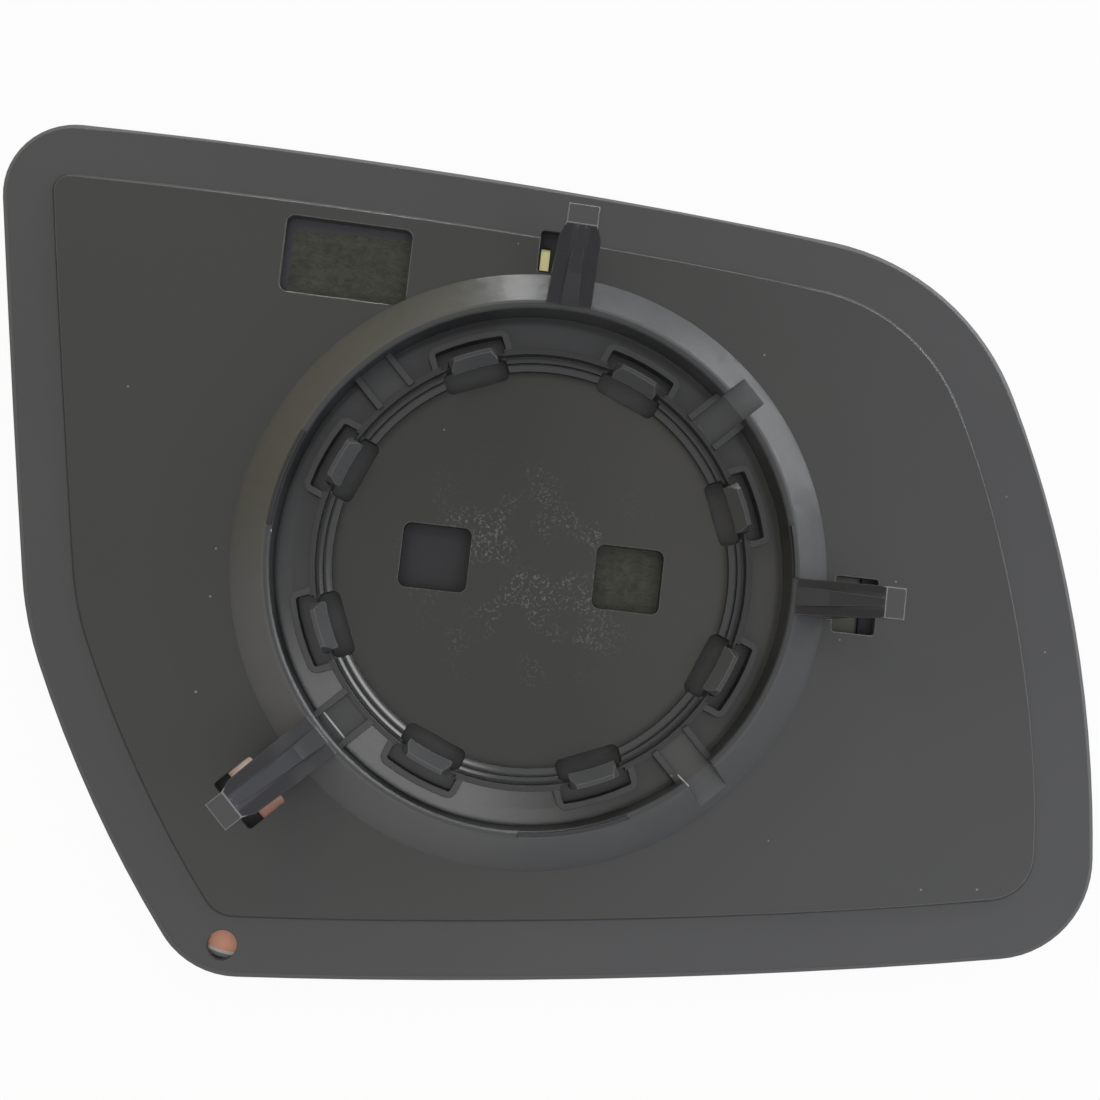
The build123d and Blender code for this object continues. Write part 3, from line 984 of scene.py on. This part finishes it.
@dataclass(frozen=True)
class Silvering:
    """Mirror glass: silver in front, a warm coated back with painted shade and a bare margin, and a ground
    edge.
    """

    silver: Colour = (0.86, 0.88, 0.89, 1.0)
    cream: Colour = (0.92, 0.87, 0.44, 1.0)
    peach: Colour = (0.92, 0.74, 0.58, 1.0)
    salmon: Colour = (0.58, 0.27, 0.20, 1.0)
    coral: Colour = (0.76, 0.33, 0.20, 1.0)
    shaded: Colour = (0.06, 0.058, 0.045, 1.0)
    margin: Colour = (0.20, 0.21, 0.21, 1.0)
    rim_line: Colour = (0.62, 0.62, 0.57, 1.0)
    ground: Colour = (0.22, 0.24, 0.24, 1.0)
    red_fade: Fade = Fade(0.3, 1.0, -51.0, -57.0)
    peach_span: Pair = (30.0, -20.0)
    coral_span: Pair = (-50.0, -62.0)
    metal_span: Pair = (0.0, 30.0)
    metal_share: float = 0.25
    glass_shade_side: float = 40.0
    glass_shade_top: float = 57.5

    def front(self) -> Material:
        """Builds the polished silver, with faint wiping marks.

        Returns:
            The new material.
        """
        material, graph = new_material("silver_mirror")
        wipe = graph.noise(graph.place(), 0.05, 3.0)
        rough = 0.015 + 0.02 * wipe
        finish_material(graph, {"Base Color": self.silver, "Metallic": 1.0, "Roughness": rough})
        return material

    def back(self) -> Material:
        """Builds the coating: cream at the top, then peach, then salmon, with painted shade on one side and
        the top.

        Returns:
            The new material.
        """
        material, graph = new_material("coated_back")
        place = graph.place()
        x, y, _ = graph.axes(place)
        reddish = self.red_fade.mask(x, y)
        # Painted shade: the back is painted dark and not metallic to the right and along the top.
        dull = x.above(self.glass_shade_side, 5.0) | y.above(self.glass_shade_top, 0.3)
        colour = graph.layers(
            graph.mix(y.ramp(*self.peach_span), self.cream, self.peach),
            (reddish, graph.mix(y.ramp(*self.coral_span), self.salmon, self.coral)),
            (dull, self.shaded),
        )
        metal = self.metal_share * (1.0 + y.ramp(*self.metal_span)) * (1.0 - (reddish | dull))
        mottle = graph.noise(place, 0.15, 2.0)
        rough = 0.3 + 0.1 * mottle
        finish_material(graph, {"Base Color": colour, "Metallic": metal, "Roughness": rough})
        return material

    def edge(self, name: str, colour: Colour) -> Material:
        """Builds ground or bare glass, slightly grainy.

        Args:
            name: Name of the material.
            colour: Its colour.

        Returns:
            The new material.
        """
        material, graph = new_material(name)
        grain = graph.noise(graph.place(), 4.0, 2.0)
        finish_material(graph, {"Base Color": colour, "Roughness": 0.3 + 0.2 * grain})
        return material


@dataclass
class BackingPlate:
    """The moulded backing plate, shown as its CAD node.

    A radius is a distance from the ring's axis. A level is a height that tells one region from the next.
    """

    finish: SatinPlastic
    seat_radius: float = 34.0
    seat_rise: float = 0.5
    inner_bead_radius: float = 35.1
    outer_bead_start: float = 35.5
    outer_bead_radius: float = 36.3
    bead_height: float = 1.3
    gap_level: float = 0.9
    rib_start: float = 36.7
    rib_radius: float = 37.7
    rib_height: float = 3.0
    channel_level: float = 0.55
    wall_radius: float = 43.75
    crest_radius: float = 44.95
    foot_radius: float = 51.28
    rim_height: float = 7.2
    cone_tilt: float = math.atan2(6.9, 6.5)
    clip_count: int = 8
    clip_level: float = 4.0
    frame_gap: float = 12.0
    frame_radius: float = 40.2
    frame_level: float = 1.0
    window_reach: float = 25.0
    arm_height: float = 18.5
    arm_level: float = 1.4
    arm_rib_half: float = 1.4
    top_arm_shift: float = 1.1
    top_arm_half: float = 5.0
    right_arm_half: float = 2.95
    low_arm_half: float = 4.95
    root_reach: float = 50.0
    dish_radius: float = 1395.0
    field_level: float = -0.15
    border_level: float = -0.325
    halo_start: float = 58.0
    halo_end: float = 66.0

    def build(self) -> Object:
        """Dresses the CAD node.

        Returns:
            The finished piece.
        """
        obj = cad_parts[CadNode.PLATE.value]
        wear_only(obj, self.finish.material(self))
        return obj


@dataclass(frozen=True)
class CutOut:
    """A rectangular hole in the foam behind a hook arm, on a ray at an angle from the ring's axis."""

    angle: float
    middle: float
    offset: float
    length: float
    width: float
    height: float = 20.0

    def cutter(self) -> Object:
        """Builds the box that is taken out of the foam.

        Returns:
            The new object.
        """
        ends = (-0.5, 0.5)
        corners = np.array(np.meshgrid(ends, ends, ends, indexing="ij")).reshape(3, -1).T
        size = np.array((self.length, self.width, self.height))
        mesh = bpy.data.meshes.new("cutter")
        mesh.from_pydata((corners * size * MM).tolist(), [], BOX_FACES)
        shift = Matrix.Translation((self.middle * MM, self.offset * MM, 0))
        mesh.transform(Matrix.Rotation(math.radians(self.angle), 4, "Z") @ shift)
        obj = bpy.data.objects.new("cutter", mesh)
        bpy.context.scene.collection.objects.link(obj)
        return obj


@dataclass
class FoamPad:
    """The die-cut foam sheet, with its fuzzy side showing in the plate's windows."""

    dish: Dish
    finish: FuzzyFoam
    around: int = 420
    rings: int = 110
    under_rings: int = 12
    edge_steps: int = 7
    inner_share: float = 0.01
    under_share: float = 0.04
    edge_round: float = 0.25
    unevenness: float = 0.03
    waves: int = 40
    wave_lengths: Pair = (2.5, 7.0)
    steepest: float = 1.5
    seed: int = 7
    cut_outs: tuple[CutOut, ...] = (
        CutOut(90.0, 54.45, 3.7, 4.0, 1.6),
        CutOut(0.0, 55.3, 0.0, 5.1, 9.8),
        CutOut(225.0, 59.3, 0.0, 5.1, 9.8),
    )

    def unlevel(self, plan: np.ndarray) -> np.ndarray:
        """Gentle unevenness: a sum of waves of seeded direction, length and phase, never above zero.

        Args:
            plan: Array whose last axis holds x and y.

        Returns:
            The heights to add.
        """
        draw = np.random.default_rng(self.seed)
        turn = draw.uniform(0, 2 * math.pi, self.waves)
        pitch = 2 * math.pi / draw.uniform(*self.wave_lengths, self.waves)
        phase = draw.uniform(0, 2 * math.pi, self.waves)
        direction = np.stack((np.cos(turn), np.sin(turn))) * pitch
        height = np.sin(plan @ direction + phase).sum(axis=-1) / math.sqrt(self.waves)
        return self.unevenness * (np.clip(height, -self.steepest, self.steepest) - self.steepest)

    def build(self) -> Object:
        """Builds the sheet: rounded edge carried round the outline, uneven top, three cut-outs.

        Returns:
            The finished piece.
        """
        dish = self.dish
        outline = Outline.around(CadNode.PAD, self.around)
        shares_in = np.linspace(self.under_share, 1.0, self.under_rings)
        shares_out = np.linspace(1.0, self.inner_share, self.rings)
        under = dish.lift(outline.spokes(self.edge_round, shares_in), dish.pad_front)
        turn = np.linspace(0, math.pi, self.edge_steps)[1:-1]
        rims = np.stack([
            dish.lift(
                outline.inset(self.edge_round * (1 - math.sin(a))),
                dish.pad_front - dish.pad_thickness * (1 - math.cos(a)) / 2,
            )
            for a in turn
        ])
        over = dish.lift(outline.spokes(self.edge_round, shares_out), dish.pad_back)
        over[..., 2] += self.unlevel(over[..., :2])
        low = dish.lift(np.zeros(2), dish.pad_front)
        high = dish.lift(np.zeros(2), dish.pad_back)
        high[2] += float(self.unlevel(np.zeros(2)))
        obj = shell("foam_sheet", low, np.concatenate((under, rims, over)), high)
        for cut_out in self.cut_outs:
            self._cut(obj, cut_out.cutter())
        wear_only(obj, self.finish.material())
        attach(obj, BODY)
        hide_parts(CadNode.PAD.value)
        return obj

    @staticmethod
    def _cut(obj: Object, cutter: Object) -> None:
        """Takes a cutter out of the sheet for good, and removes the cutter.

        Args:
            obj: The sheet.
            cutter: The closed object to take out of it.
        """
        modifier = obj.modifiers.new("cut", "BOOLEAN")
        modifier.operation = "DIFFERENCE"
        modifier.solver = "EXACT"
        modifier.object = cutter
        bpy.context.view_layer.update()
        shown = obj.evaluated_get(bpy.context.evaluated_depsgraph_get())
        final = bpy.data.meshes.new_from_object(shown)
        obj.modifiers.clear()
        obj.data = final
        bpy.data.objects.remove(cutter)


@dataclass
class MirrorGlass:
    """The convex mirror with its ground edges."""

    dish: Dish
    finish: Silvering
    around: int = 720
    rings: int = 48
    bevel: float = 0.4
    margin: float = 1.0
    rim_line: float = 1.5
    inner_share: float = 0.02
    sharp_angle: float = 25.0

    def build(self) -> Object:
        """Carries the profile of front, bevels, edge, bare margin and coated back round the outline.

        Returns:
            The finished piece.
        """
        outline = Outline.around(CadNode.GLASS, self.around)
        shares = np.linspace(self.inner_share, 1.0, self.rings)
        front = self.dish.lift(outline.spokes(self.bevel, shares), self.dish.mirror_radius)
        low = self.dish.lift(outline.points, self.dish.mirror_radius - self.bevel)[None]
        high = self.dish.lift(outline.points, self.dish.glass_back + self.bevel)[None]
        insets = np.stack([outline.inset(distance) for distance in (self.bevel, self.margin)])
        rim = self.dish.lift(insets, self.dish.glass_back)
        back = self.dish.lift(outline.spokes(self.rim_line, shares[::-1]), self.dish.glass_back)
        first = self.dish.lift(np.zeros(2), self.dish.mirror_radius)
        last = self.dish.lift(np.zeros(2), self.dish.glass_back)
        obj = shell("silvered_glass", first, np.concatenate((front, low, high, rim, back)), last)
        mesh = obj.data
        for material in (
            self.finish.front(),
            self.finish.edge("ground_edge", self.finish.ground),
            self.finish.edge("bare_margin", self.finish.margin),
            self.finish.edge("coating_line", self.finish.rim_line),
            self.finish.back(),
        ):
            mesh.materials.append(material)
        strips = np.repeat((0, 1, 2, 3, 4), (self.rings - 1, 3, 1, 1, self.rings - 1))
        fans = np.repeat((0, 4), self.around)
        indices = np.concatenate((np.repeat(strips, self.around), fans))
        mesh.polygons.foreach_set("material_index", indices.astype(np.int32))
        mesh.set_sharp_from_angle(angle=math.radians(self.sharp_angle))
        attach(obj, BODY)
        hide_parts(CadNode.GLASS.value)
        return obj


@dataclass(frozen=True)
class Softbox:
    """A rectangular lamp that faces the ring, placed by its direction and distance."""

    name: str
    azimuth: float
    elevation: float
    distance: float
    size: Pair
    radiance: float
    colour: Point = (1.0, 1.0, 1.0)

    def hang(self) -> None:
        """Adds the lamp; its power is the radiance times pi times its area."""
        width, height = self.size
        data = bpy.data.lights.new(self.name, "AREA")
        data.shape = "RECTANGLE"
        data.size = width * MM
        data.size_y = height * MM
        data.energy = self.radiance * math.pi * width * height * MM**2
        data.color = self.colour
        obj = bpy.data.objects.new(self.name, data)
        bpy.context.scene.collection.objects.link(obj)
        turn, tilt = math.radians(self.azimuth), math.radians(self.elevation)
        level = math.cos(tilt)
        outwards = Vector((level * math.cos(turn), level * math.sin(turn), math.sin(tilt)))
        facing = (-outwards).to_track_quat("-Z", "Y").to_matrix().to_4x4()
        obj.matrix_world = Matrix.Translation(outwards * self.distance * MM) @ facing


@dataclass
class Studio:
    """Camera, lights and the pale floor that the mirror lies on."""

    eye: Point = (-9.501, -14.431, 235.0)
    right: Point = (0.99201518, 0.11077229, 0.06029416)
    up: Point = (-0.11488945, 0.99092737, 0.06973783)
    back: Point = (-0.05202212, -0.07610815, 0.99574156)
    focal_pixels: float = 1370.72
    image_pixels: float = 1100.0
    sensor: float = 36.0
    nearest: float = 0.01
    farthest: float = 20.0
    floor_size: float = 6000.0
    floor_colour: Colour = (0.86, 0.86, 0.86, 1.0)
    floor_white: float = 0.93
    floor_mirrored: float = 0.4
    horizon: float = 1.2
    wall: float = 0.45
    overhead: float = 0.85
    warm: Colour = (1.0, 0.97, 0.88, 1.0)
    cool: Colour = (0.97, 0.98, 1.0, 1.0)
    lamps: tuple[Softbox, ...] = (
        Softbox("key_lamp", 55.0, 8.0, 900.0, (2100.0, 190.0), 3.0, (0.97, 1.0, 1.0)),
        Softbox("top_strip", 96.5, 6.0, 880.0, (115.0, 150.0), 27.0, (0.97, 1.0, 1.0)),
        Softbox("right_strip", 42.0, 6.0, 880.0, (600.0, 150.0), 8.5, (0.97, 1.0, 1.0)),
        Softbox("warm_lamp", 128.0, 48.0, 700.0, (130.0, 130.0), 6.0, (1.0, 0.93, 0.80)),
        Softbox("side_lamp", -30.0, 50.0, 480.0, (220.0, 220.0), 1.6, (0.92, 0.96, 1.0)),
        Softbox("overhead_lamp", 242.0, 82.0, 620.0, (150.0, 100.0), 3.5),
    )

    def camera(self) -> Object:
        """Sets up the camera, from the measured viewpoint.

        Returns:
            The camera.
        """
        data = bpy.data.cameras.new("camera")
        data.sensor_width = self.sensor
        data.lens = self.focal_pixels / self.image_pixels * self.sensor
        data.clip_start = self.nearest
        data.clip_end = self.farthest
        obj = bpy.data.objects.new("camera", data)
        bpy.context.scene.collection.objects.link(obj)
        turn = Matrix((self.right, self.up, self.back)).transposed().to_4x4()
        obj.matrix_world = Matrix.Translation(Vector(self.eye) * MM) @ turn
        bpy.context.scene.camera = obj
        return obj

    def sky(self) -> None:
        """A plain pale surround, palest at the horizon and darkest at half height, warm on one side."""
        world = bpy.data.worlds.new("surround")
        bpy.context.scene.world = world
        world.use_nodes = True
        graph = Graph(world.node_tree)
        x, _, z = graph.axes(graph.make("ShaderNodeTexCoord", output="Generated"))
        strength = self.horizon + z.ramp(0.02, 0.35) * (self.wall - self.horizon)
        strength = strength + z.ramp(0.6, 0.95) * (self.overhead - self.wall)
        colour = graph.mix(x.ramp(-0.7, 0.1), self.warm, self.cool)
        light = graph.make("ShaderNodeBackground", {}, {"Strength": strength, "Color": colour})
        graph.make("ShaderNodeOutputWorld", {}, {"Surface": light})

    def floor(self) -> Object:
        """Lays the floor: pale and dull, lifted to white where it is seen, open from below.

        Returns:
            The floor.
        """
        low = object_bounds()[0][2] / MM
        half = self.floor_size / 2
        mesh = bpy.data.meshes.new("floor")
        corners = [(-half, -half, low), (half, -half, low), (half, half, low), (-half, half, low)]
        mesh.from_pydata((np.array(corners) * MM).tolist(), [], [(0, 1, 2, 3)])
        obj = bpy.data.objects.new("floor", mesh)
        bpy.context.scene.collection.objects.link(obj)
        material, graph = new_material("pale_floor")
        path = graph.make("ShaderNodeLightPath", output="Is Camera Ray")
        seen = (path | path.out("Is Transmission Ray")) * self.floor_white
        seen = seen | path.out("Is Glossy Ray") * self.floor_mirrored
        dull = graph.make("ShaderNodeBsdfDiffuse", {}, {"Color": self.floor_colour})
        white = graph.make("ShaderNodeEmission", {}, {"Color": (1.0, 1.0, 1.0, 1.0), "Strength": 1.0})
        lifted = graph.make("ShaderNodeMixShader", {}, {0: seen, 1: dull, 2: white})
        behind = graph.make("ShaderNodeNewGeometry", output="Backfacing")
        clear = graph.make("ShaderNodeBsdfTransparent")
        shown = graph.make("ShaderNodeMixShader", {}, {0: behind, 1: lifted, 2: clear})
        graph.make("ShaderNodeOutputMaterial", {}, {"Surface": shown})
        mesh.materials.append(material)
        obj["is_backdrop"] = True
        return obj

    def build(self) -> None:
        """Sets up the whole studio."""
        bpy.context.scene.view_settings.view_transform = "Standard"
        self.camera()
        self.sky()
        for lamp in self.lamps:
            lamp.hang()
        self.floor()


def main() -> None:
    """Builds every piece, then the studio, and notes the sizes."""
    logging.basicConfig(level=logging.INFO, format="%(name)s: %(message)s")
    dish = Dish()
    pieces = (BackingPlate(SatinPlastic()), FoamPad(dish, FuzzyFoam()), MirrorGlass(dish, Silvering()))
    for piece in pieces:
        obj = piece.build()
        log.info("%s has %d faces", obj.name, len(obj.data.polygons))
    Studio().build()


if __name__ == "__main__":
    main()
